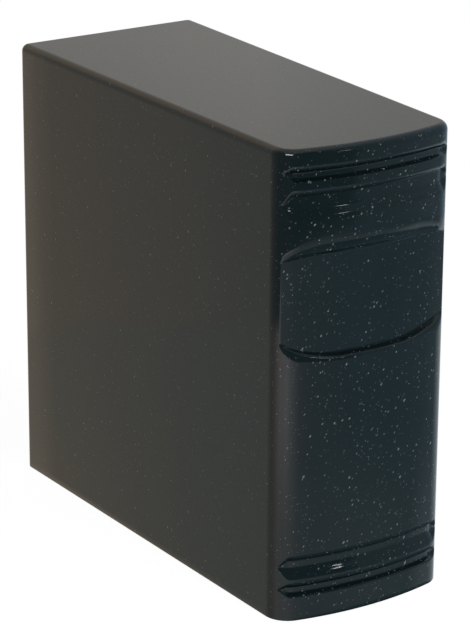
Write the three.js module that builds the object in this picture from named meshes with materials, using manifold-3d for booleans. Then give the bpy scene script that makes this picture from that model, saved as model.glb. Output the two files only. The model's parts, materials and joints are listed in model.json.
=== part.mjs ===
// A book-shaped cremation urn: a hollow cast shell, closed underneath by a plate of the same stone.
// Millimetres, +Z up. The origin is under the middle of the urn, the spine faces -Y and the fore-edge +Y.
import * as THREE from 'three';
import { mergeVertices } from 'three/addons/utils/BufferGeometryUtils.js';
import Module from 'manifold-3d';

// Overall size: the covers part towards the fore-edge
const HEIGHT = 222;
const SPINE_WIDTH = 92.6;
const FORE_WIDTH = 98.8;
const DEPTH = 231.5;

// Outline seen from above
const SPINE_BOW = 6.8;
const SPINE_CORNER_RADIUS = 12;
const FORE_CORNER_RADIUS = 4;
const TOP_FILLET = 3.5;

// Hollow, and the plate that closes it
const WALL = 10;
const TOP_WALL = 10;
const CAVITY_FILLET = 1.5;
const RIM = 5;
const PLATE_THICKNESS = 8;
const FIT_GAP = 0.3;

// Level grooves round the spine, from the top down: their edges, depth, and the height of their lower wall
const GROOVES = [
  { top: 214.8, bottom: 207.7, depth: 2.2, lowerWall: 1.4 },
  { top: 203.9, bottom: 190.1, depth: 2.3, lowerWall: 6 },
  { top: 32.3, bottom: 20, depth: 2.3, lowerWall: 6 },
  { top: 19.1, bottom: 11.9, depth: 2.2, lowerWall: 1.4 },
];
const GROOVE_UPPER_WALL = 3.2;
const GROOVE_RIM_START = -0.25;
const GROOVE_FADE_TURN = THREE.MathUtils.degToRad(30);
const GROOVE_END_TURN = THREE.MathUtils.degToRad(62);

// Sunken panel on the spine, with a nearly flat floor that runs out on the corners. The rim and the root of
// its walls are frames: their reach from the panel's middle height, and the width, height and roundness of
// their corners, from a straight cut at 1 to an ellipse at 2.
const PANEL_MIDDLE = 152.2;
const PANEL_HALF_WIDTH = 47;
const PANEL_DEPTH = 4;
const PANEL_FLOOR_RADIUS = 183;
const PANEL_TOP_RIM = { reach: 29.8, width: 22, height: 9, roundness: 1.45 };
const PANEL_TOP_ROOT = { reach: 20.5, width: 22, height: 2, roundness: 1.45 };
const PANEL_BOTTOM_RIM = { reach: 29.5, width: 9.5, height: 9.6, roundness: 1.6 };
const PANEL_BOTTOM_ROOT = { reach: 26.6, width: 30, height: 8, roundness: 1.4 };
const PANEL_ROLL = 4;
const PANEL_RIM_START = -0.3;

// Fineness of the round stretches, how far a cutter stands clear of what it cuts, and when points are one
const SPINE_SEGMENTS = 16;
const CORNER_SEGMENTS = 12;
const FORE_SEGMENTS = 5;
const FILLET_SEGMENTS = 5;
const GROOVE_STEPS = 44;
const GROOVE_WALL_STEPS = 4;
const PANEL_COLUMNS = 64;
const PANEL_ROWS = 26;
const PANEL_MARGIN = 0.4;
const CLEAR = 3;
const SAME_POINT = 1e-5;

const STONE = { color: 0x2a2d2e, roughness: 0.12, metalness: 0 };
const PLATE_STONE = { color: 0x303233, roughness: 0.55, metalness: 0 };

// Places that follow from the sizes above
const halfWidth = SPINE_WIDTH / 2;
const foreHalfWidth = FORE_WIDTH / 2;
const crownY = -DEPTH / 2;
const foreY = DEPTH / 2;
const spineRadius = (halfWidth ** 2 + SPINE_BOW ** 2) / (2 * SPINE_BOW);
const spineAxisY = crownY + spineRadius;
const cornerX = halfWidth - SPINE_CORNER_RADIUS;
const cornerY = spineAxisY - Math.sqrt((spineRadius - SPINE_CORNER_RADIUS) ** 2 - cornerX ** 2);
const cornerStartTurn = Math.asin(cornerX / (spineRadius - SPINE_CORNER_RADIUS));
const foreFromCorner = new THREE.Vector2(foreHalfWidth - cornerX, foreY - cornerY);
const coverTurn = Math.atan2(foreFromCorner.x, foreFromCorner.y)
  - Math.asin(SPINE_CORNER_RADIUS / foreFromCorner.length());

const wasm = await Module();
wasm.setup();

// Closed geometry as a solid that can be joined and cut
function solid(geometry) {
  const bare = geometry.index ? geometry.toNonIndexed() : geometry;
  bare.deleteAttribute('normal');
  bare.deleteAttribute('uv');
  const merged = mergeVertices(bare, SAME_POINT);
  return new wasm.Manifold(new wasm.Mesh({
    numProp: 3,
    vertProperties: new Float32Array(merged.attributes.position.array),
    triVerts: new Uint32Array(merged.index.array),
  }));
}

// A finished solid as a named mesh
function mesh(name, body, stone) {
  const { vertProperties, triVerts } = body.getMesh();
  const geometry = new THREE.BufferGeometry();
  geometry.setAttribute('position', new THREE.BufferAttribute(vertProperties, 3));
  geometry.setIndex(new THREE.BufferAttribute(triVerts, 1));
  geometry.computeVertexNormals();
  const result = new THREE.Mesh(geometry, new THREE.MeshStandardMaterial(stone));
  result.name = name;
  return result;
}

// Points of an arc, which is one point where the radius is nothing
function arcPoints(x, y, radius, from, to, segments) {
  if (radius === 0) {
    return [new THREE.Vector2(x, y)];
  }
  return new THREE.EllipseCurve(x, y, radius, radius, from, to, false).getPoints(segments);
}

// The urn's outline from above, moved inwards by inset: flat covers and fore-edge, bowed spine, round
// corners. Each angle is the way that the outline faces, measured from +X.
function outline(inset) {
  const foreEdge = 0.5 * Math.PI;
  const leftCover = Math.PI + coverTurn;
  const spineLeft = 1.5 * Math.PI - cornerStartTurn;
  const spineRight = 1.5 * Math.PI + cornerStartTurn;
  const rightCover = 2 * Math.PI - coverTurn;
  const corner = SPINE_CORNER_RADIUS - inset;
  const spine = arcPoints(0, spineAxisY, spineRadius - inset, spineLeft, spineRight, SPINE_SEGMENTS);
  const foreRadius = Math.max(FORE_CORNER_RADIUS - inset, 0);
  const foreInset = Math.max(FORE_CORNER_RADIUS, inset);
  const foreX = foreHalfWidth - foreInset * (1 + Math.sin(coverTurn)) / Math.cos(coverTurn);
  return new THREE.Shape([
    ...arcPoints(-foreX, foreY - foreInset, foreRadius, foreEdge, leftCover, FORE_SEGMENTS),
    ...arcPoints(-cornerX, cornerY, corner, leftCover, spineLeft, CORNER_SEGMENTS),
    ...spine.slice(1, -1),
    ...arcPoints(cornerX, cornerY, corner, spineRight, rightCover, CORNER_SEGMENTS),
    ...arcPoints(foreX, foreY - foreInset, foreRadius, rightCover, foreEdge + 2 * Math.PI, FORE_SEGMENTS),
  ]);
}

// The outline raised from one height to another, with its upper edge rounded by fillet
function block(inset, bottom, top, fillet) {
  const geometry = new THREE.ExtrudeGeometry(outline(inset), {
    depth: top - fillet - bottom,
    bevelEnabled: fillet > 0,
    bevelThickness: fillet,
    bevelSize: fillet,
    bevelOffset: -fillet,
    bevelSegments: FILLET_SEGMENTS,
  });
  return solid(geometry.translate(0, 0, bottom));
}

// What lies under the ground plane, where the rounding of a block's lower edge would show
function underground() {
  const thickness = TOP_FILLET + CLEAR;
  const geometry = new THREE.BoxGeometry(2 * FORE_WIDTH, 2 * DEPTH, thickness);
  return solid(geometry.translate(0, 0, -thickness / 2));
}

// A point of the spine's face, found by how far the face has turned there from facing -Y
function spinePoint(turn) {
  const inCorner = Math.abs(turn) > cornerStartTurn;
  const radius = inCorner ? SPINE_CORNER_RADIUS : spineRadius;
  const centreX = inCorner ? Math.sign(turn) * cornerX : 0;
  const centreY = inCorner ? cornerY : spineAxisY;
  return new THREE.Vector2(centreX + radius * Math.sin(turn), centreY - radius * Math.cos(turn));
}

// The way that a groove's section takes: along the spine's face, then out of it as the face turns to the
// covers, rising in all by twice the groove's depth
class GroovePath extends THREE.Curve {
  constructor(height, depth) {
    super();
    this.height = height;
    this.rise = 2 * depth;
  }

  getPoint(t, target = new THREE.Vector3()) {
    const turn = (2 * t - 1) * GROOVE_END_TURN;
    const lift = this.rise * THREE.MathUtils.smoothstep(Math.abs(turn), GROOVE_FADE_TURN, GROOVE_END_TURN);
    const face = spinePoint(turn);
    return target.set(face.x + lift * Math.sin(turn), face.y - lift * Math.cos(turn), this.height);
  }
}

// One soft S-shaped wall of a groove's section, from its edge inwards
function grooveWall(edge, width, depth, fallAt) {
  const points = [];
  for (let step = 0; step <= GROOVE_WALL_STEPS; step += 1) {
    const share = step / GROOVE_WALL_STEPS;
    const fall = fallAt(share);
    points.push(new THREE.Vector2(edge + share * width, THREE.MathUtils.lerp(GROOVE_RIM_START, depth, fall)));
  }
  return points;
}

// A groove's section: X runs down the spine from the groove's middle and Y into it
function grooveSection(width, depth, lowerWall) {
  const half = width / 2;
  const upper = grooveWall(-half, GROOVE_UPPER_WALL, depth, (share) => share ** 2);
  const lower = grooveWall(half, -lowerWall, depth, (share) => 0.5 - 0.5 * Math.cos(Math.PI * share)).reverse();
  const mouth = [new THREE.Vector2(half, -CLEAR), new THREE.Vector2(-half, -CLEAR)];
  return new THREE.Shape([...upper, ...lower, ...mouth]);
}

function grooveCutter({ top, bottom, depth, lowerWall }) {
  return solid(new THREE.ExtrudeGeometry(grooveSection(top - bottom, depth, lowerWall), {
    steps: GROOVE_STEPS,
    bevelEnabled: false,
    extrudePath: new GroovePath((top + bottom) / 2, depth),
  }));
}

// How far the spine's face has turned at a distance from its middle, measured along the face
function turnAcross(across) {
  const bow = Math.min(Math.abs(across), spineRadius * cornerStartTurn);
  const turn = bow / spineRadius + (Math.abs(across) - bow) / SPINE_CORNER_RADIUS;
  return Math.sign(across) * turn;
}

// How far a place is inside a frame of the panel, measured up or down its nearest edge
function insideFrame(across, up, { reach, width, height, roundness }) {
  const pastSide = Math.max(Math.abs(across) - PANEL_HALF_WIDTH + width, 0) / width;
  const pastEnd = Math.max(Math.abs(up) - reach + height, 0) / height;
  return (1 - (pastSide ** roundness + pastEnd ** roundness) ** (1 / roundness)) * height;
}

// How deep the panel's drum-shaped floor lies along the face's normal
function panelFloor(turn) {
  const { x, y } = spinePoint(turn);
  const fromAxis = y - (crownY + PANEL_DEPTH + PANEL_FLOOR_RADIUS);
  const towards = x * Math.sin(turn) - fromAxis * Math.cos(turn);
  return towards - Math.sqrt(PANEL_FLOOR_RADIUS ** 2 - x ** 2 - fromAxis ** 2 + towards ** 2);
}

// How deep the panel is, starting outside the face. Its upper wall curves in to a sharp root and its lower
// wall rolls over.
function panelSunk(across, up) {
  const fromRim = insideFrame(across, up, up > 0 ? PANEL_TOP_RIM : PANEL_BOTTOM_RIM);
  if (fromRim <= 0) {
    return PANEL_RIM_START;
  }
  const toRoot = Math.max(-insideFrame(across, up, up > 0 ? PANEL_TOP_ROOT : PANEL_BOTTOM_ROOT), 0);
  const share = fromRim / (fromRim + toRoot);
  const rolled = 1 - (1 - share ** PANEL_ROLL) ** (1 / PANEL_ROLL);
  const fall = up > 0 ? share ** 2 : rolled;
  return THREE.MathUtils.lerp(PANEL_RIM_START, panelFloor(turnAcross(across)), fall);
}

// The panel's hollow: a box laid along the spine's face, its back sunk to the panel's floor and walls, with
// its rows closest at the upper and lower rim
function panelCutter() {
  const box = new THREE.BoxGeometry(1, 1, 1, PANEL_COLUMNS, PANEL_ROWS, 1);
  const places = box.attributes.position;
  for (let index = 0; index < places.count; index += 1) {
    const across = 2 * (PANEL_HALF_WIDTH + PANEL_MARGIN) * places.getX(index);
    const rise = Math.sin(Math.PI * places.getY(index));
    const rim = rise > 0 ? PANEL_TOP_RIM : PANEL_BOTTOM_RIM;
    const up = rise * (rim.reach + PANEL_MARGIN);
    const outwards = places.getZ(index) > 0 ? CLEAR : -panelSunk(across, up);
    const turn = turnAcross(across);
    const { x, y } = spinePoint(turn);
    places.setXYZ(index, x + outwards * Math.sin(turn), y - outwards * Math.cos(turn), PANEL_MIDDLE + up);
  }
  return solid(box);
}

// The cast shell: rounded block, less its hollow, the seat of the plate and the carving of the spine
function urnBody() {
  let body = block(0, 0, HEIGHT, TOP_FILLET).subtract(underground());
  for (const groove of GROOVES) {
    body = body.subtract(grooveCutter(groove));
  }
  body = body.subtract(panelCutter());
  body = body.subtract(block(WALL, 0, HEIGHT - TOP_WALL, CAVITY_FILLET));
  return body.subtract(block(RIM, -CLEAR, PLATE_THICKNESS + FIT_GAP, 0));
}

// The closing plate, flush with the rim and clear of its seat
function basePlate() {
  return block(RIM + FIT_GAP, 0, PLATE_THICKNESS, 0);
}

const urn = new THREE.Group();
urn.add(mesh('urn_body', urnBody(), STONE));
urn.add(mesh('base_plate', basePlate(), PLATE_STONE));

export default urn;
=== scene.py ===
import json
from math import asin, atan2, ceil, copysign, cos, hypot, pi, radians, sin, sqrt

import bpy
from mathutils import Matrix, Vector

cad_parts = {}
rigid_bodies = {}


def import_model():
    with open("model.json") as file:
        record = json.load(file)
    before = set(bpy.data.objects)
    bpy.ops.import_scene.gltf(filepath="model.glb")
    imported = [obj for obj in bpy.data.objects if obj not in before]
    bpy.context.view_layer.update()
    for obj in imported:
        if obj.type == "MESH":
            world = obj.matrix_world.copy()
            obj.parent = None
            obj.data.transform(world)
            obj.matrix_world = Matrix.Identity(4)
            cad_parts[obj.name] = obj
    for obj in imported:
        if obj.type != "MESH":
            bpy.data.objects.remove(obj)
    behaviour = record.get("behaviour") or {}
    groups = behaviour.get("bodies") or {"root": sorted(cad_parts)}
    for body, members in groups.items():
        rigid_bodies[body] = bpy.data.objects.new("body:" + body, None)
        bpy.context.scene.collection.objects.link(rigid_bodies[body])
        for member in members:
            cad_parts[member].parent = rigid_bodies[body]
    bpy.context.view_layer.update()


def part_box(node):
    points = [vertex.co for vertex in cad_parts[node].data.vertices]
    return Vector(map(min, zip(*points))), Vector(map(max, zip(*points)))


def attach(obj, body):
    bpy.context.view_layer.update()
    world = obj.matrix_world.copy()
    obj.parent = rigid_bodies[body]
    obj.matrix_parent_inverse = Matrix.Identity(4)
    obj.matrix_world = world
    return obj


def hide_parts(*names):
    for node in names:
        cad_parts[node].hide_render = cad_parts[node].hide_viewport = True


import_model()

# Lengths are in metres. The spine faces -Y, the fore-edge +Y and the covers -X and +X.
MM = 0.001

# The urn's size and its plate's, from the frame
urn_low, urn_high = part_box("urn_body")
plate_low, plate_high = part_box("base_plate")
CROWN_Y = urn_low.y
FORE_Y = urn_high.y
HEIGHT = urn_high.z
PLATE_INSET = plate_low.y - CROWN_Y
PLATE_TOP = plate_high.z

# Outline seen from above: a bowed spine between round corners, and covers that part towards the fore-edge
SPINE_HALF_WIDTH = 46.3 * MM
SPINE_BOW = 6.8 * MM
SPINE_CORNER_RADIUS = 12 * MM
FORE_CORNER_RADIUS = 4 * MM
TOP_FILLET = 3.5 * MM
TOP_MARGIN = 0.3 * MM
FOOT_FILLET = 0.4 * MM
SPINE_RADIUS = (SPINE_HALF_WIDTH**2 + SPINE_BOW**2) / (2 * SPINE_BOW)
SPINE_AXIS_Y = CROWN_Y + SPINE_RADIUS
CORNER_X = SPINE_HALF_WIDTH - SPINE_CORNER_RADIUS
CORNER_Y = SPINE_AXIS_Y - sqrt((SPINE_RADIUS - SPINE_CORNER_RADIUS) ** 2 - CORNER_X**2)
CORNER_START = asin(CORNER_X / (SPINE_RADIUS - SPINE_CORNER_RADIUS))
FORE_CORNER_X = urn_high.x - FORE_CORNER_RADIUS
FORE_CORNER_Y = FORE_Y - FORE_CORNER_RADIUS
COVER_SPREAD = FORE_CORNER_X - CORNER_X
COVER_REACH = FORE_CORNER_Y - CORNER_Y
COVER_TURN = atan2(COVER_SPREAD, COVER_REACH) - asin(
    (SPINE_CORNER_RADIUS - FORE_CORNER_RADIUS) / hypot(COVER_SPREAD, COVER_REACH))

# Hollow, and the plate's seat
RIM = 5 * MM
WALL = 10 * MM
TOP_WALL = 10 * MM
CAVITY_FILLET = 1.5 * MM
FIT_GAP = 0.3 * MM
PLATE_EDGE = 0.5 * MM

# Grooves of the spine from the foot up: lower and upper edge, depth, and height of the lower wall
GROOVES = [
    (11.9 * MM, 19.1 * MM, 2.2 * MM, 1.4 * MM),
    (20 * MM, 32.3 * MM, 2.3 * MM, 6 * MM),
    (190.1 * MM, 203.9 * MM, 2.3 * MM, 6 * MM),
    (207.7 * MM, 214.8 * MM, 2.2 * MM, 1.4 * MM),
]
GROOVE_UPPER_WALL = 3.2 * MM
GROOVE_FADE_TURN = radians(30)
GROOVE_END_TURN = radians(62)

# Sunken panel of the spine. Its floor is part of a drum that runs out softly, over the lip, and the roll is
# how squarely its lower wall turns over. Its rim and the root of its walls are frames, each with its reach from
# the panel's middle and with corners of a width, a height and a roundness, from a straight cut at 1 to an
# ellipse at 2.
PANEL_MIDDLE = 152.2 * MM
PANEL_HALF_WIDTH = 47 * MM
PANEL_DEPTH = 4 * MM
PANEL_FLOOR_RADIUS = 183 * MM
PANEL_LIP = 0.15 * MM
PANEL_ROLL = 4
PANEL_TOP_RIM = (29.8 * MM, (22 * MM, 9 * MM, 1.45))
PANEL_TOP_ROOT = (20.5 * MM, (22 * MM, 2 * MM, 1.45))
PANEL_BOTTOM_RIM = (29.5 * MM, (9.5 * MM, 9.6 * MM, 1.6))
PANEL_BOTTOM_ROOT = (26.6 * MM, (30 * MM, 8 * MM, 1.4))
DEEPEST_CARVING = 8 * MM

# Fineness of the shell. Columns are those of the spine, each round corner, each cover and the fore-edge.
FINE_ROW = 0.3 * MM
SMALL_ROW = 0.45 * MM
MIDDLE_ROW = 1.6 * MM
PLAIN_ROW = 5 * MM
CARVING_MARGIN = 1.5 * MM
PANEL_EDGE_BAND = 8 * MM
PANEL_CORNER_BAND = 14 * MM
PANEL_TOP_BAND = 12 * MM
SHOULDER_MARGIN = 0.6 * MM
SHELL_COLUMNS = (112, 48, 8, 4)
PLATE_COLUMNS = (36, 12, 1, 1)
FORE_CORNER_COLUMNS = 8
TOP_FILLET_SEGMENTS = 8
EDGE_SEGMENTS = 3
SMOOTH_ANGLE = radians(35)
SAME_PLACE = 0.001 * MM
NEAR = 0.01 * MM

# Camera
CAMERA_TURN = radians(-33.29)
CAMERA_RISE = radians(19.62)
CAMERA_ROLL = radians(0.391)
CAMERA_DISTANCE = 1.4064
CAMERA_TARGET = Vector((2.02 * MM, 0, 103.92 * MM))
FOCAL_PIXELS = 2937
IMAGE_HEIGHT = 640
SENSOR = 36

# Stone: lean and stretch of its flakes, its cloudiness, how small a fleck gets and how much of its radius is
# solid. A ground runs from a dark to a light colour. Each layer of flecks has its cells per metre, the share
# of cells that hold a fleck, its radius as a share of a cell, and its palest and dimmest colour.
FLAKE_LEAN = (0, radians(37), 0)
FLAKE_STRETCH = (1, 1, 1.8)
CLOUD_PER_METRE = 60
CLOUD_DETAIL = 4
SMALLEST_FLECK = 0.4
FLECK_CORE = 0.55
STONE_IOR = 1.5
POLISHED_GROUND = ((0.010, 0.019, 0.022), (0.016, 0.029, 0.034))
POLISHED_FLECKS = [
    (1100, 0.45, 0.28, (0.34, 0.35, 0.35), (0.05, 0.06, 0.065)),
    (600, 0.55, 0.25, (0.5, 0.52, 0.52), (0.1, 0.11, 0.115)),
    (340, 0.4, 0.19, (0.6, 0.61, 0.6), (0.2, 0.21, 0.22)),
]
POLISHED_ROUGHNESS = (0.04, 0.08)
UNPOLISHED_GROUND = ((0.03, 0.034, 0.036), (0.05, 0.054, 0.056))
UNPOLISHED_FLECKS = [
    (520, 0.5, 0.16, (0.20, 0.21, 0.21), (0.06, 0.065, 0.07)),
    (290, 0.45, 0.16, (0.36, 0.37, 0.37), (0.10, 0.11, 0.115)),
]
UNPOLISHED_ROUGHNESS = (0.5, 0.65)

# What the polish mirrors, by bearing from -Y towards +X in degrees: the glowing table near by and further off,
# its tones painted light, and the room beyond the table's edge and above
NEAR_TONES = [
    (-180, (0.74, 0.66, 0.53)), (-158, (0.88, 0.76, 0.60)), (-155.4, (0.70, 0.62, 0.50)),
    (-150.5, (0.55, 0.53, 0.46)), (-145.4, (0.48, 0.51, 0.475)), (-118, (0.46, 0.46, 0.42)),
    (-104, (0.55, 0.52, 0.48)), (-78, (0.8, 0.78, 0.75)), (-62, (0.72, 0.74, 0.75)), (-47, (0.74, 0.78, 0.8)),
    (-28, (0.64, 0.7, 0.71)), (-9, (0.54, 0.59, 0.61)), (7, (0.45, 0.53, 0.56)), (14, (0.36, 0.47, 0.5)),
    (40, (0.34, 0.45, 0.48)), (56, (0.27, 0.38, 0.42)), (62, (0.45, 0.57, 0.63)), (70, (0.58, 0.72, 0.80)),
    (90, (0.62, 0.76, 0.84)), (120, (0.7, 0.8, 0.86)), (150, (0.6, 0.6, 0.58)), (180, (0.74, 0.66, 0.53)),
]
TABLE_TONES = [
    (-180, (0.74, 0.66, 0.53)), (-158, (0.74, 0.66, 0.53)), (-155.4, (0.66, 0.60, 0.49)),
    (-150.5, (0.55, 0.53, 0.46)), (-145.4, (0.48, 0.51, 0.475)), (-118, (0.46, 0.46, 0.42)),
    (-104, (0.62, 0.57, 0.51)), (-78, (1.25, 1.15, 1.1)), (-62, (1.22, 1.2, 1.2)), (-47, (1.28, 1.28, 1.32)),
    (-28, (0.88, 0.92, 0.93)), (-9, (0.6, 0.63, 0.64)), (7, (0.4, 0.48, 0.51)), (12, (0.27, 0.37, 0.41)),
    (20, (0.24, 0.35, 0.40)), (33, (0.2, 0.33, 0.40)), (45, (0.175, 0.305, 0.375)), (60, (0.2, 0.32, 0.38)),
    (66, (0.3, 0.42, 0.48)), (72, (0.42, 0.54, 0.6)), (86, (0.62, 0.76, 0.82)), (120, (0.7, 0.8, 0.86)),
    (150, (0.6, 0.6, 0.58)), (180, (0.74, 0.66, 0.53)),
]
ROOM_TONES = [
    (-180, (0.74, 0.64, 0.50)), (-158, (0.82, 0.70, 0.55)), (-155.4, (0.69, 0.595, 0.48)),
    (-150.5, (0.60, 0.535, 0.45)), (-147, (0.53, 0.51, 0.455)), (-145.4, (0.49, 0.50, 0.46)),
    (-120, (0.3, 0.31, 0.3)), (-95, (0.16, 0.24, 0.27)), (-60, (0.13, 0.2, 0.23)), (-20, (0.08, 0.15, 0.18)),
    (0, (0.06, 0.13, 0.16)), (26, (0.06, 0.13, 0.16)), (31, (0.18, 0.29, 0.34)), (45, (0.21, 0.32, 0.37)),
    (60, (0.28, 0.4, 0.47)), (80, (0.32, 0.5, 0.64)), (110, (0.42, 0.52, 0.6)), (144, (0.56, 0.56, 0.54)),
    (146.5, (0.65, 0.64, 0.61)), (150, (0.57, 0.56, 0.535)), (180, (0.74, 0.64, 0.50)),
]

# Mirrored table, a glowing plane seen only in the polish, whose tones are painted light: its height, its dark
# patch of painted shade under the urn and to the front right, where it passes from near by to further off, how
# far its edge is from the left round corner by bearing, and how soft that edge is
TABLE_Z = -0.25
PAINTED_SHADE_TONE = (0.095, 0.17, 0.205)
PAINTED_SHADE_MIDDLE = (0.14, -0.13)
PAINTED_SHADE_REACH = (0.28, 0.38)
NEAR_REACH = (0.62, 0.95)
TABLE_EDGE = [
    (-180, 1.1), (-80, 1.1), (-60, 1.17), (-37, 1.24), (-15, 1.27), (7, 1.305), (12, 1.325), (23, 1.37),
    (40, 1.42), (180, 1.42),
]
TABLE_EDGE_BLUR = (-0.02, 0.02)

# Mirrored room: the light overhead and the heights over which it comes in, and the even light on all else
OVERHEAD_TONE = (0.6, 0.62, 0.6)
OVERHEAD_RISE = (0.78, 0.96)
EVEN_LIGHT = (0.06, 0.06, 0.06)

# Floor and lamps. Each lamp has its bearing and height angle in degrees, its distance, its width and height,
# and its radiance. A fill lights the stone itself, and a mirrored lamp shows in its polish.
STAGE_SIZE = 16
FLOOR_COLOUR = (0.8, 0.8, 0.8)
FLOOR_ROUGHNESS = 0.9
FLOOR_GLOW = 0.92
MIRRORED_LAMPS = {
    "front_lamp": (22.8, 25, 2.2, (0.13, 0.06), 14),
    "left_lamp": (-50, 40, 2.0, (0.9, 0.4), 12),
}
FILLS = {
    "front_fill": (12, 8, 1.8, (1.2, 0.4), 6),
    "left_fill": (-75, 8, 1.8, (0.8, 0.4), 1.5),
}


def start_piece(name):
    """Starts a piece, in edit mode, with nothing in it yet."""
    bpy.ops.object.select_all(action="DESELECT")
    bpy.ops.mesh.primitive_plane_add(size=MM)
    piece = bpy.context.object
    piece.name = name
    bpy.ops.object.mode_set(mode="EDIT")
    bpy.ops.mesh.select_all(action="SELECT")
    bpy.ops.mesh.delete(type="VERT")
    return piece


def start_line(place):
    """Starts a line of the piece in edit mode as one selected point."""
    bpy.ops.mesh.select_mode(type="VERT")
    bpy.ops.mesh.select_all(action="DESELECT")
    bpy.ops.mesh.primitive_plane_add(size=MM)
    bpy.ops.mesh.merge(type="CENTER")
    bpy.ops.transform.translate(value=place)


def run(way, steps):
    """Draws what is selected along a straight way, in equal steps."""
    bpy.ops.mesh.extrude_repeat(steps=steps, offset=Vector(way) / steps)


def sweep(x, y, angle, steps):
    """Draws what is selected round an upright axis, anticlockwise from above."""
    bpy.ops.mesh.spin(steps=steps, angle=angle, center=(x, y, 0), axis=(0, 0, -1))


def fore_corner(inset):
    """Centre and radius of the right fore corner once the outline is moved inwards. Moved by more than its
    radius, it is a point."""
    past = max(inset - FORE_CORNER_RADIUS, 0)
    x = FORE_CORNER_X - past * (1 + sin(COVER_TURN)) / cos(COVER_TURN)
    return x, FORE_CORNER_Y - past, max(FORE_CORNER_RADIUS - inset, 0)


def draw_outline(inset, height, columns):
    """Draws the urn's outline from above, moved inwards, from its left fore corner round the spine."""
    spine_columns, corner_columns, cover_columns, fore_columns = columns
    x, y, radius = fore_corner(inset)
    cover = (x - CORNER_X) * sin(COVER_TURN) + (y - CORNER_Y) * cos(COVER_TURN)
    towards = cover * cos(COVER_TURN)
    aside = cover * sin(COVER_TURN)
    corner_sweep = pi / 2 - COVER_TURN - CORNER_START
    fore_sweep = pi / 2 + COVER_TURN
    start_line((-x, y + radius, height))
    if radius > 0:
        sweep(-x, y, fore_sweep, FORE_CORNER_COLUMNS)
    run((aside, -towards, 0), cover_columns)
    sweep(-CORNER_X, CORNER_Y, corner_sweep, corner_columns)
    sweep(0, SPINE_AXIS_Y, 2 * CORNER_START, spine_columns)
    sweep(CORNER_X, CORNER_Y, corner_sweep, corner_columns)
    run((aside, towards, 0), cover_columns)
    if radius > 0:
        sweep(x, y, fore_sweep, FORE_CORNER_COLUMNS)
    run((-2 * x, 0, 0), fore_columns)
    bpy.ops.mesh.select_linked()
    bpy.ops.mesh.remove_doubles(threshold=SAME_PLACE)


def select(piece, mode, wanted):
    """Selects the edges or faces of the piece that the test accepts, and nothing else."""
    bpy.ops.mesh.select_mode(type=mode)
    bpy.ops.mesh.select_all(action="DESELECT")
    bpy.ops.object.mode_set(mode="OBJECT")
    mesh = piece.data
    elements = mesh.edges if mode == "EDGE" else mesh.polygons
    for element in elements:
        element.select = wanted([mesh.vertices[index].co for index in element.vertices])
    bpy.ops.object.mode_set(mode="EDIT")


def level(places, height):
    return all(abs(place.z - height) < NEAR for place in places)


def apply_modifier(piece, kind, **settings):
    modifier = piece.modifiers.new(kind.title(), kind)
    for setting, value in settings.items():
        setattr(modifier, setting, value)
    bpy.ops.object.modifier_apply(modifier=modifier.name)


def row_bands():
    """Heights up the shell and how far apart its rows are below each, fine where the spine is carved."""
    lowest, lower, upper, highest = GROOVES
    panel_bottom = PANEL_MIDDLE - PANEL_BOTTOM_RIM[0]
    panel_top = PANEL_MIDDLE + PANEL_TOP_RIM[0]
    return [
        (lowest[0] - CARVING_MARGIN, PLAIN_ROW),
        (lower[1] + CARVING_MARGIN, SMALL_ROW),
        (panel_bottom - CARVING_MARGIN, PLAIN_ROW),
        (panel_bottom + PANEL_EDGE_BAND, FINE_ROW),
        (panel_bottom + PANEL_CORNER_BAND, SMALL_ROW),
        (panel_top - PANEL_TOP_BAND, MIDDLE_ROW),
        (panel_top + CARVING_MARGIN, SMALL_ROW),
        (upper[0] - CARVING_MARGIN, MIDDLE_ROW),
        (highest[1] + CARVING_MARGIN, SMALL_ROW),
        (HEIGHT - TOP_FILLET - SHOULDER_MARGIN, MIDDLE_ROW),
        (HEIGHT, HEIGHT),
    ]


def line_hollow(urn, seat, ceiling):
    """The plate's seat and the hollow above it, closed at its ceiling."""
    draw_outline(RIM, 0, SHELL_COLUMNS)
    run((0, 0, seat), 1)
    draw_outline(WALL, seat, SHELL_COLUMNS)
    run((0, 0, ceiling - seat), 1)
    bpy.ops.mesh.edge_face_add()
    select(urn, "EDGE", lambda places: level(places, ceiling))
    bpy.ops.mesh.bevel(offset=CAVITY_FILLET, segments=EDGE_SEGMENTS)


def raise_outside():
    """The outside of the shell, upright and closed above."""
    draw_outline(0, 0, SHELL_COLUMNS)
    bottom = 0
    for top, row in row_bands():
        run((0, 0, top - bottom), ceil((top - bottom) / row))
        bottom = top
    bpy.ops.mesh.edge_face_add()


def raise_shell():
    """The shell with its hollow, joined by level rims round the plate's seat."""
    urn = start_piece("urn")
    seat = PLATE_TOP + FIT_GAP
    line_hollow(urn, seat, HEIGHT - TOP_WALL)
    raise_outside()
    for height in (0, seat):
        select(urn, "EDGE", lambda places: level(places, height))
        bpy.ops.mesh.fill()
    bpy.ops.mesh.select_all(action="SELECT")
    bpy.ops.mesh.normals_make_consistent(inside=False)
    return urn


def on_foot(places):
    return level(places, 0) and all(inside_outline(place) < RIM / 2 for place in places)


def round_edges(urn):
    """Rounds the upper edge, with a narrow margin that keeps the top's shading flat, and the foot."""
    select(urn, "EDGE", lambda places: level(places, HEIGHT))
    bpy.ops.mesh.bevel(offset=TOP_FILLET, segments=TOP_FILLET_SEGMENTS)
    select(urn, "FACE", lambda places: level(places, HEIGHT))
    bpy.ops.mesh.inset(thickness=TOP_MARGIN)
    select(urn, "EDGE", on_foot)
    bpy.ops.mesh.bevel(offset=FOOT_FILLET, segments=EDGE_SEGMENTS)


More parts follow.
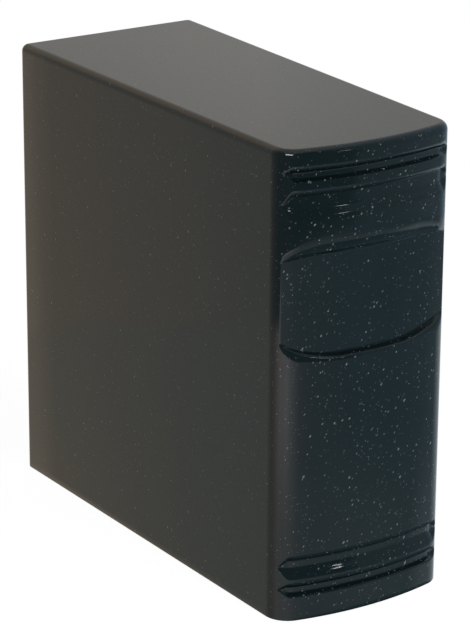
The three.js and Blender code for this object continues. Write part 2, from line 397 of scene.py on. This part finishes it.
def spine_turn(place):
    """How far the spine's face has turned from facing -Y at a place, and how far the place is off that face.
    The turn is None beside the covers and the fore-edge."""
    turn = atan2(place.x, SPINE_AXIS_Y - place.y)
    if place.y > CORNER_Y:
        return None, None
    if abs(turn) <= CORNER_START:
        return turn, abs(SPINE_RADIUS - hypot(place.x, SPINE_AXIS_Y - place.y))
    side = place.x - copysign(CORNER_X, place.x)
    down = CORNER_Y - place.y
    return atan2(side, down), abs(SPINE_CORNER_RADIUS - hypot(side, down))


def inside_outline(place):
    """How far a place is inside the urn's outline seen from above."""
    turn, off_face = spine_turn(place)
    if turn is not None:
        return off_face
    beyond_x = abs(place.x) - FORE_CORNER_X
    beyond_y = place.y - FORE_CORNER_Y
    off_cover = FORE_CORNER_RADIUS - beyond_x * cos(COVER_TURN) + beyond_y * sin(COVER_TURN)
    return min(off_cover, FORE_Y - place.y)


def smoothstep(low, high, value):
    share = min(max((value - low) / (high - low), 0), 1)
    return share * share * (3 - 2 * share)


def soft_positive(value, softness):
    """The positive part of a value, rounded where it leaves zero."""
    if value <= -softness:
        return 0
    if value >= softness:
        return value
    return (value + softness) ** 2 / (4 * softness)


def groove_depth(turn, height):
    """How deep the grooves are: an upper wall that curves in to a sharp root, a flat floor and an S-shaped
    lower wall, tapering where the face turns."""
    taper = 1 - smoothstep(GROOVE_FADE_TURN, GROOVE_END_TURN, abs(turn))
    for bottom, top, depth, lower_wall in GROOVES:
        half = taper * (top - bottom) / 2
        up = height - (bottom + top) / 2
        if abs(up) < half:
            upper = min((half - up) / (taper * GROOVE_UPPER_WALL), 1)
            lower = min((half + up) / (taper * lower_wall), 1)
            return taper * depth * min(upper**2, 0.5 - 0.5 * cos(pi * lower))
    return 0


def inside_frame(across, up, panel_frame):
    """How far a place is inside a frame of the panel, measured across its nearest edge."""
    reach, (width, height, roundness) = panel_frame
    past_side = max(across - PANEL_HALF_WIDTH + width, 0) / width
    past_end = max(up - reach + height, 0) / height
    return (1 - (past_side**roundness + past_end**roundness) ** (1 / roundness)) * height


def panel_floor(turn, place):
    """How deep the panel's drum-shaped floor lies along the face's normal."""
    into_x = -sin(turn)
    into_y = cos(turn)
    from_axis_y = place.y - (CROWN_Y + PANEL_DEPTH + PANEL_FLOOR_RADIUS)
    towards = -(place.x * into_x + from_axis_y * into_y)
    aside = place.x**2 + from_axis_y**2 - towards**2
    return towards - sqrt(PANEL_FLOOR_RADIUS**2 - aside)


def panel_depth(turn, place):
    """How deep the panel is. Its upper wall curves in to a sharp root and its lower wall rolls over."""
    bow = min(abs(turn), CORNER_START)
    across = SPINE_RADIUS * bow + SPINE_CORNER_RADIUS * (abs(turn) - bow)
    up = place.z - PANEL_MIDDLE
    rim, root = (PANEL_TOP_RIM, PANEL_TOP_ROOT) if up > 0 else (PANEL_BOTTOM_RIM, PANEL_BOTTOM_ROOT)
    from_rim = inside_frame(across, abs(up), rim)
    if from_rim <= 0:
        return 0
    to_root = max(-inside_frame(across, abs(up), root), 0)
    share = from_rim / (from_rim + to_root)
    rolled = 1 - (1 - share**PANEL_ROLL) ** (1 / PANEL_ROLL)
    fall = share**2 if up > 0 else rolled
    return fall * soft_positive(panel_floor(turn, place), PANEL_LIP)


def carve_spine(urn):
    """Sinks the grooves and the panel into the spine's face."""
    bpy.ops.object.mode_set(mode="OBJECT")
    carving = urn.vertex_groups.new(name="carving")
    for vertex in urn.data.vertices:
        turn, off_face = spine_turn(vertex.co)
        if turn is None or off_face > NEAR:
            continue
        depth = max(groove_depth(turn, vertex.co.z), panel_depth(turn, vertex.co))
        if depth > 0:
            carving.add([vertex.index], depth / DEEPEST_CARVING, "REPLACE")
    apply_modifier(urn, "DISPLACE", direction="NORMAL", mid_level=0, strength=-DEEPEST_CARVING,
                   vertex_group=carving.name)


def finish_piece(piece, material, node):
    bpy.ops.object.mode_set(mode="OBJECT")
    bpy.ops.object.select_all(action="DESELECT")
    piece.select_set(True)
    bpy.context.view_layer.objects.active = piece
    bpy.ops.object.shade_smooth_by_angle(angle=SMOOTH_ANGLE)
    piece.data.materials.clear()
    piece.data.materials.append(material)
    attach(piece, "root")
    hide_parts(node)


def make_urn(material):
    urn = raise_shell()
    round_edges(urn)
    carve_spine(urn)
    finish_piece(urn, material, "urn_body")


def make_base_plate(material):
    """The plate that closes the urn from below, with its edges eased."""
    plate = start_piece("closing_plate")
    draw_outline(PLATE_INSET, 0, PLATE_COLUMNS)
    bpy.ops.mesh.edge_face_add()
    bpy.ops.mesh.extrude_region_move(TRANSFORM_OT_translate={"value": (0, 0, PLATE_TOP)})
    bpy.ops.mesh.select_all(action="SELECT")
    bpy.ops.mesh.normals_make_consistent(inside=False)
    select(plate, "EDGE", lambda places: level(places, 0) or level(places, PLATE_TOP))
    bpy.ops.mesh.bevel(offset=PLATE_EDGE, segments=EDGE_SEGMENTS)
    finish_piece(plate, material, "base_plate")


def add_node(tree, kind, **inputs):
    """A node with its unlinked inputs set by name, where _ in a name stands for a space."""
    node = tree.nodes.new(kind)
    for name, value in inputs.items():
        node.inputs[name.replace("_", " ")].default_value = value
    return node


def math_node(tree, operation, *values):
    """A maths node on values, each a number or another node's output."""
    node = tree.nodes.new("ShaderNodeMath")
    node.operation = operation
    for socket, value in zip(node.inputs, values):
        if isinstance(value, (int, float)):
            socket.default_value = value
        else:
            tree.links.new(value, socket)
    return node.outputs[0]


def mix_colours(tree, share, first, second):
    """A blend of two colours, each a colour or another node's output."""
    mix = tree.nodes.new("ShaderNodeMix")
    mix.data_type = "RGBA"
    tree.links.new(share, mix.inputs["Factor"])
    for socket, colour in ((mix.inputs["A"], first), (mix.inputs["B"], second)):
        if isinstance(colour, tuple):
            socket.default_value = (*colour, 1)
        else:
            tree.links.new(colour, socket)
    return mix.outputs["Result"]


def start_material(name):
    """A new material with its node tree and its shader."""
    material = bpy.data.materials.new(name)
    material.use_nodes = True
    return material, material.node_tree, material.node_tree.nodes["Principled BSDF"]


def fleck_group():
    """Pale flecks of stone scattered through the mass: where one shows, and how pale it is."""
    group = bpy.data.node_groups.new("Stone flecks", "ShaderNodeTree")
    face = group.interface
    face.new_socket("Place", in_out="INPUT", socket_type="NodeSocketVector")
    for name in ("Per metre", "Share", "Radius"):
        face.new_socket(name, in_out="INPUT", socket_type="NodeSocketFloat")
    for name in ("Fleck", "Tone"):
        face.new_socket(name, in_out="OUTPUT", socket_type="NodeSocketFloat")
    entry = group.nodes.new("NodeGroupInput")
    result = group.nodes.new("NodeGroupOutput")
    cells = group.nodes.new("ShaderNodeTexVoronoi")
    group.links.new(entry.outputs["Place"], cells.inputs["Vector"])
    group.links.new(entry.outputs["Per metre"], cells.inputs["Scale"])
    chance = group.nodes.new("ShaderNodeSeparateColor")
    group.links.new(cells.outputs["Color"], chance.inputs["Color"])
    present = math_node(group, "LESS_THAN", chance.outputs["Red"], entry.outputs["Share"])
    size = math_node(group, "MULTIPLY_ADD", chance.outputs["Green"], 1 - SMALLEST_FLECK, SMALLEST_FLECK)
    radius = math_node(group, "MULTIPLY", size, entry.outputs["Radius"])
    core = math_node(group, "MULTIPLY", radius, FLECK_CORE)
    spot = group.nodes.new("ShaderNodeMapRange")
    spot.interpolation_type = "SMOOTHSTEP"
    group.links.new(cells.outputs["Distance"], spot.inputs["Value"])
    group.links.new(radius, spot.inputs["From Min"])
    group.links.new(core, spot.inputs["From Max"])
    fleck = math_node(group, "MULTIPLY", present, spot.outputs["Result"])
    group.links.new(fleck, result.inputs["Fleck"])
    group.links.new(chance.outputs["Blue"], result.inputs["Tone"])
    return group


def granite(name, flecks, ground, layers, roughness):
    """A dark stone with layers of pale flecks in it."""
    material, tree, shader = start_material(name)
    shader.inputs["IOR"].default_value = STONE_IOR
    place = tree.nodes.new("ShaderNodeTexCoord").outputs["Object"]
    flakes = add_node(tree, "ShaderNodeMapping", Rotation=FLAKE_LEAN, Scale=FLAKE_STRETCH)
    flakes.vector_type = "TEXTURE"
    tree.links.new(place, flakes.inputs["Vector"])
    clouds = add_node(tree, "ShaderNodeTexNoise", Scale=CLOUD_PER_METRE, Detail=CLOUD_DETAIL)
    tree.links.new(place, clouds.inputs["Vector"])

    colour = mix_colours(tree, clouds.outputs["Fac"], *ground)
    for per_metre, share, radius, palest, dimmest in layers:
        fleck = tree.nodes.new("ShaderNodeGroup")
        fleck.node_tree = flecks
        fleck.inputs["Per metre"].default_value = per_metre
        fleck.inputs["Share"].default_value = share
        fleck.inputs["Radius"].default_value = radius
        tree.links.new(flakes.outputs["Vector"], fleck.inputs["Place"])
        tone = mix_colours(tree, fleck.outputs["Tone"], dimmest, palest)
        colour = mix_colours(tree, fleck.outputs["Fleck"], colour, tone)
    tree.links.new(colour, shader.inputs["Base Color"])

    haze = add_node(tree, "ShaderNodeMapRange", To_Min=roughness[0], To_Max=roughness[1])
    tree.links.new(clouds.outputs["Fac"], haze.inputs["Value"])
    tree.links.new(haze.outputs["Result"], shader.inputs["Roughness"])
    return material


def polished_granite(flecks):
    return granite("Polished granite", flecks, POLISHED_GROUND, POLISHED_FLECKS, POLISHED_ROUGHNESS)


def unpolished_granite(flecks):
    return granite("Unpolished granite", flecks, UNPOLISHED_GROUND, UNPOLISHED_FLECKS, UNPOLISHED_ROUGHNESS)


def place_camera():
    camera = bpy.data.objects.new("Camera", bpy.data.cameras.new("Camera"))
    bpy.context.scene.collection.objects.link(camera)
    camera.data.sensor_width = SENSOR
    camera.data.lens = FOCAL_PIXELS / IMAGE_HEIGHT * SENSOR
    level_reach = cos(CAMERA_RISE)
    back = Vector((sin(CAMERA_TURN) * level_reach, -cos(CAMERA_TURN) * level_reach, sin(CAMERA_RISE)))
    right = Vector((cos(CAMERA_TURN), sin(CAMERA_TURN), 0))
    up = back.cross(right)
    rolled_right = right * cos(CAMERA_ROLL) + up * sin(CAMERA_ROLL)
    rolled_up = up * cos(CAMERA_ROLL) - right * sin(CAMERA_ROLL)
    turn = Matrix((rolled_right, rolled_up, back)).transposed().to_4x4()
    camera.matrix_world = Matrix.Translation(CAMERA_TARGET + back * CAMERA_DISTANCE) @ turn
    bpy.context.scene.camera = camera


def lamp(name, bearing, height_angle, distance, size, radiance):
    """A soft lamp that faces the urn, placed by its bearing from -Y towards +X and by its height angle."""
    width, height = size
    turn = radians(bearing)
    rise = radians(height_angle)
    data = bpy.data.lights.new(name, "AREA")
    data.shape = "RECTANGLE"
    data.size = width
    data.size_y = height
    data.energy = radiance * pi * width * height
    light = bpy.data.objects.new(name, data)
    bpy.context.scene.collection.objects.link(light)
    way = Vector((sin(turn) * cos(rise), -cos(turn) * cos(rise), sin(rise)))
    light.location = CAMERA_TARGET + way * distance
    light.rotation_euler = way.to_track_quat("Z", "Y").to_euler()
    light.visible_camera = False
    return light


def stage_plane(name, z, material):
    """A level plane that belongs to the stage."""
    bpy.ops.object.select_all(action="DESELECT")
    bpy.ops.mesh.primitive_plane_add(size=STAGE_SIZE, location=(0, 0, z))
    plane = bpy.context.object
    plane.name = name
    bpy.ops.object.transform_apply(location=True, rotation=True, scale=True)
    plane.data.materials.append(material)
    return plane


def bearing_tones(tree, way, tones):
    """Colours by the bearing of a way from upright, blended from one to the next."""
    turned = add_node(tree, "ShaderNodeMapping", Rotation=(0, 0, radians(90)))
    tree.links.new(way, turned.inputs["Vector"])
    around = tree.nodes.new("ShaderNodeTexGradient")
    around.gradient_type = "RADIAL"
    tree.links.new(turned.outputs["Vector"], around.inputs["Vector"])
    ramp = tree.nodes.new("ShaderNodeValToRGB")
    tree.links.new(around.outputs["Fac"], ramp.inputs["Fac"])
    stops = ramp.color_ramp.elements
    for bearing, tone in tones[1:-1]:
        stops.new(bearing / 360 + 0.5).color = (*tone, 1)
    stops[0].color = (*tones[0][1], 1)
    stops[-1].color = (*tones[-1][1], 1)
    return ramp.outputs["Color"]


def soft_share(tree, value, stretch):
    """Runs softly from 0 to 1 as a value crosses a stretch."""
    share = add_node(tree, "ShaderNodeMapRange", From_Min=stretch[0], From_Max=stretch[1])
    share.interpolation_type = "SMOOTHSTEP"
    tree.links.new(value, share.inputs["Value"])
    return share.outputs["Result"]


def way_from(tree, place, middle):
    """The level way to a place from an upright axis, and its length."""
    x, y = middle
    from_middle = add_node(tree, "ShaderNodeMapping", Location=(-x, -y, 0))
    tree.links.new(place, from_middle.inputs["Vector"])
    flat = tree.nodes.new("ShaderNodeVectorMath")
    flat.operation = "MULTIPLY"
    flat.inputs[1].default_value = (1, 1, 0)
    tree.links.new(from_middle.outputs["Vector"], flat.inputs[0])
    distance = tree.nodes.new("ShaderNodeVectorMath")
    distance.operation = "LENGTH"
    tree.links.new(flat.outputs["Vector"], distance.inputs[0])
    return flat.outputs["Vector"], distance.outputs["Value"]


def floor_material():
    material, _, shader = start_material("Pale floor")
    shader.inputs["Base Color"].default_value = (*FLOOR_COLOUR, 1)
    shader.inputs["Roughness"].default_value = FLOOR_ROUGHNESS
    shader.inputs["Emission Color"].default_value = (1, 1, 1, 1)
    shader.inputs["Emission Strength"].default_value = FLOOR_GLOW
    return material


def table_material():
    """What the polish mirrors below the horizon: a glowing plane whose tones are painted light and shade of a
    table and of the room beyond its edge.
    """
    material, tree, shader = start_material("Mirrored table")
    shader.inputs["Base Color"].default_value = (0, 0, 0, 1)
    shader.inputs["Specular IOR Level"].default_value = 0
    shader.inputs["Emission Strength"].default_value = 1
    place = tree.nodes.new("ShaderNodeTexCoord").outputs["Object"]
    way, away = way_from(tree, place, (-CORNER_X, CORNER_Y))
    _, off_painted_shade = way_from(tree, place, PAINTED_SHADE_MIDDLE)
    # The dark patch near the urn is painted shade on the glowing table.
    near = mix_colours(tree, soft_share(tree, off_painted_shade, PAINTED_SHADE_REACH), PAINTED_SHADE_TONE,
                       bearing_tones(tree, way, NEAR_TONES))
    table = mix_colours(tree, soft_share(tree, away, NEAR_REACH), near, bearing_tones(tree, way, TABLE_TONES))
    edge = bearing_tones(tree, way, [(bearing, (reach, reach, reach)) for bearing, reach in TABLE_EDGE])
    beyond = soft_share(tree, math_node(tree, "SUBTRACT", away, edge), TABLE_EDGE_BLUR)
    colour = mix_colours(tree, beyond, table, bearing_tones(tree, way, ROOM_TONES))
    tree.links.new(colour, shader.inputs["Emission Color"])
    return material


def light_room():
    """The room: its tones show in the polish, and a faint even light falls on all else."""
    world = bpy.data.worlds.new("Studio")
    bpy.context.scene.world = world
    world.use_nodes = True
    tree = world.node_tree
    way = tree.nodes.new("ShaderNodeTexCoord").outputs["Generated"]
    ray = tree.nodes.new("ShaderNodeLightPath")
    rise = tree.nodes.new("ShaderNodeSeparateXYZ")
    tree.links.new(way, rise.inputs["Vector"])
    overhead = soft_share(tree, rise.outputs["Z"], OVERHEAD_RISE)
    tones = mix_colours(tree, overhead, bearing_tones(tree, way, ROOM_TONES), OVERHEAD_TONE)
    colour = mix_colours(tree, ray.outputs["Is Glossy Ray"], EVEN_LIGHT, tones)
    tree.links.new(colour, tree.nodes["Background"].inputs["Color"])


def light_studio():
    floor = stage_plane("floor", 0, floor_material())
    floor.visible_glossy = False
    floor.visible_diffuse = False
    table = stage_plane("mirrored_table", TABLE_Z, table_material())
    table.visible_camera = False
    table.visible_diffuse = False
    table.visible_shadow = False
    for name, setting in MIRRORED_LAMPS.items():
        lamp(name, *setting).visible_diffuse = False
    for name, setting in FILLS.items():
        lamp(name, *setting).visible_glossy = False
    light_room()
    bpy.context.scene.view_settings.view_transform = "Standard"


stone_flecks = fleck_group()
make_urn(polished_granite(stone_flecks))
make_base_plate(unpolished_granite(stone_flecks))
place_camera()
light_studio()
